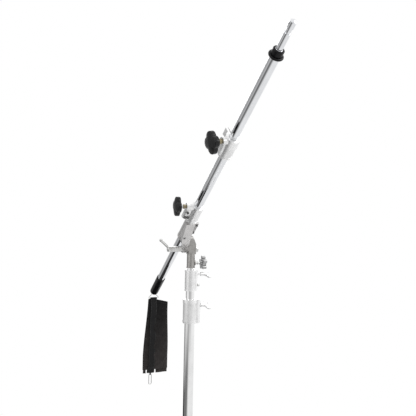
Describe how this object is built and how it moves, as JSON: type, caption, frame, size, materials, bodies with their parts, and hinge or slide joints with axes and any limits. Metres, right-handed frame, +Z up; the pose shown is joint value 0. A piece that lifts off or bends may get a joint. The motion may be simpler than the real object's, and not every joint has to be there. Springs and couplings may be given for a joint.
{
  "type": "boom arm light stand",
  "caption": "Telescopic studio stand with a folding leg base, tilting head, sliding boom arm ending in a stud, and a hanging counterweight bag.",
  "frame": {"origin": "centre of the column's axis on the floor", "axes": "+Z up along the column, +X the horizontal direction of the boom's upper end, the tilt axis along Y"},
  "size_m": [1.1795, 0.8796, 2],
  "materials": {
    "boom_chrome": "polished",
    "stand_chrome": "polished",
    "base_casting": "satin",
    "collar_casting": "satin",
    "arm_casting": "satin",
    "yoke_steel": "satin",
    "bright_steel": "polished",
    "wing_metal": "satin",
    "dark_screw": "satin",
    "brass_insert": "satin",
    "knob_plastic": "satin",
    "cap_plastic": "gloss",
    "liner_plastic": "matte",
    "fibre_disc": "matte",
    "foot_rubber": "matte",
    "bag_cloth": "matte",
    "sand": "matte"
  },
  "bodies": {
    "base": {"base_hub": "base_casting", "base_column": "stand_chrome", "lower_leg_collar": "base_casting", "lower_leg": "stand_chrome", "lower_foot": "foot_rubber", "leg_washers": "bright_steel", "leg_lock_ring": "base_casting", "lower_collar": "collar_casting", "lower_bush": "liner_plastic"},
    "middle_leg_set": {"middle_leg_collar": "base_casting", "middle_leg": "stand_chrome", "middle_foot": "foot_rubber"},
    "upper_leg_set": {"upper_leg_collar": "base_casting", "upper_leg": "stand_chrome", "upper_foot": "foot_rubber"},
    "leg_lock": {"leg_lock_screw": "wing_metal"},
    "lower_wing": {"lower_wing_screw": "wing_metal"},
    "middle_section": {"middle_riser": "stand_chrome", "middle_guide": "liner_plastic", "upper_collar": "collar_casting", "upper_bush": "liner_plastic", "upper_collar_screw": "bright_steel"},
    "upper_wing": {"upper_wing_screw": "wing_metal"},
    "top_section": {"top_riser": "stand_chrome", "top_guide": "liner_plastic", "top_stud": "stand_chrome"},
    "head": {"head_yoke": "yoke_steel", "tilt_bolt": "bright_steel", "tilt_nut": "bright_steel", "tilt_nut_washer": "bright_steel", "friction_disc": "fibre_disc", "tilt_washer": "bright_steel"},
    "socket_lock": {"socket_screw": "bright_steel", "socket_knob": "wing_metal"},
    "tilt_handle": {"tilt_barrel": "bright_steel", "tilt_lever": "bright_steel"},
    "arm": {"boom_arm": "arm_casting", "arm_screws": "dark_screw", "head_clamp": "collar_casting", "head_clamp_screws": "dark_screw", "head_clamp_insert": "brass_insert"},
    "clamp_knob": {"head_knob": "knob_plastic", "head_knob_screw": "bright_steel"},
    "outer_boom": {"outer_tube": "boom_chrome", "end_grip": "cap_plastic", "grip_eye": "bright_steel", "front_collar": "collar_casting", "front_bush": "liner_plastic", "front_insert": "brass_insert"},
    "boom_knob": {"front_knob": "knob_plastic", "front_knob_screw": "bright_steel"},
    "inner_boom": {"inner_tube": "boom_chrome", "inner_guide": "liner_plastic", "top_cap": "cap_plastic", "flange_ring": "cap_plastic", "spigot": "boom_chrome"},
    "hanger": {"bag_hanger": "bright_steel"},
    "bag": {"sandbag": "bag_cloth", "sand_fill": "sand"},
    "clip": {"bag_clip": "bright_steel"}
  },
  "joints": [
    {"name": "middle_leg_swing", "type": "hinge", "parent": "base", "child": "middle_leg_set", "pos_m": [0, 0, 0.135], "axis": [0, 0, 1], "range_deg": [0, 95]},
    {"name": "upper_leg_swing", "type": "hinge", "parent": "base", "child": "upper_leg_set", "pos_m": [0, 0, 0.175], "axis": [0, 0, 1], "range_deg": [-95, 0]},
    {"name": "leg_lock_turn", "type": "hinge", "parent": "base", "child": "leg_lock", "pos_m": [-0.03, 0, 0.207], "axis": [-1, 0, 0], "range_deg": [-180, 180]},
    {"name": "lower_wing_turn", "type": "hinge", "parent": "base", "child": "lower_wing", "pos_m": [0, 0.04, 1.2615], "axis": [0, 1, 0], "range_deg": [-180, 180]},
    {"name": "middle_slide", "type": "slide", "parent": "base", "child": "middle_section", "axis": [0, 0, 1], "range_m": [-0.028, 0.7]},
    {"name": "upper_wing_turn", "type": "hinge", "parent": "middle_section", "child": "upper_wing", "pos_m": [0, 0.03, 1.3715], "axis": [0, 1, 0], "range_deg": [-180, 180]},
    {"name": "top_slide", "type": "slide", "parent": "middle_section", "child": "top_section", "axis": [0, 0, 1], "range_m": [0, 0.7]},
    {"name": "head_swivel", "type": "hinge", "parent": "top_section", "child": "head", "pos_m": [0, 0, 1.421], "axis": [0, 0, 1], "continuous": true},
    {"name": "socket_knob_turn", "type": "hinge", "parent": "head", "child": "socket_lock", "pos_m": [0, 0.03, 1.4112], "axis": [0, 1, 0], "range_deg": [-180, 180]},
    {"name": "boom_tilt", "type": "hinge", "parent": "head", "child": "arm", "pos_m": [0, 0, 1.461], "axis": [0, -1, 0], "range_deg": [-50, 40]},
    {"name": "tilt_lever_turn", "type": "hinge", "parent": "head", "child": "tilt_handle", "pos_m": [0, -0.06, 1.461], "axis": [0, -1, 0], "range_deg": [-120, 120]},
    {"name": "clamp_knob_turn", "type": "hinge", "parent": "arm", "child": "clamp_knob", "pos_m": [0.16515, -0.034, 1.60879], "axis": [0, -1, 0], "range_deg": [-180, 180]},
    {"name": "boom_slide", "type": "slide", "parent": "arm", "child": "outer_boom", "axis": [0.8387, 0, 0.5446], "range_m": [-0.24, 0.2]},
    {"name": "boom_knob_turn", "type": "hinge", "parent": "outer_boom", "child": "boom_knob", "pos_m": [0.44191, -0.034, 1.78852], "axis": [0.1318, -0.9703, -0.2029], "range_deg": [-180, 180]},
    {"name": "inner_slide", "type": "slide", "parent": "outer_boom", "child": "inner_boom", "axis": [0.8387, 0, 0.5446], "range_m": [-0.265, 0.3]},
    {"name": "hanger_swing", "type": "hinge", "parent": "outer_boom", "child": "hanger", "pos_m": [-0.39676, -0.034, 1.24388], "axis": [0, -1, 0], "range_deg": [-40, 50]},
    {"name": "bag_swing", "type": "hinge", "parent": "hanger", "child": "bag", "pos_m": [-0.39676, -0.034, 1.21868], "axis": [0, -1, 0], "range_deg": [-10, 10]},
    {"name": "clip_swing", "type": "hinge", "parent": "bag", "child": "clip", "pos_m": [-0.39676, -0.042, 0.89658], "axis": [0, -1, 0], "range_deg": [-60, 60]}
  ],
  "couplings": [
    {"joint": "hanger_swing", "follows": "boom_tilt", "ratio": -1}
  ]
}
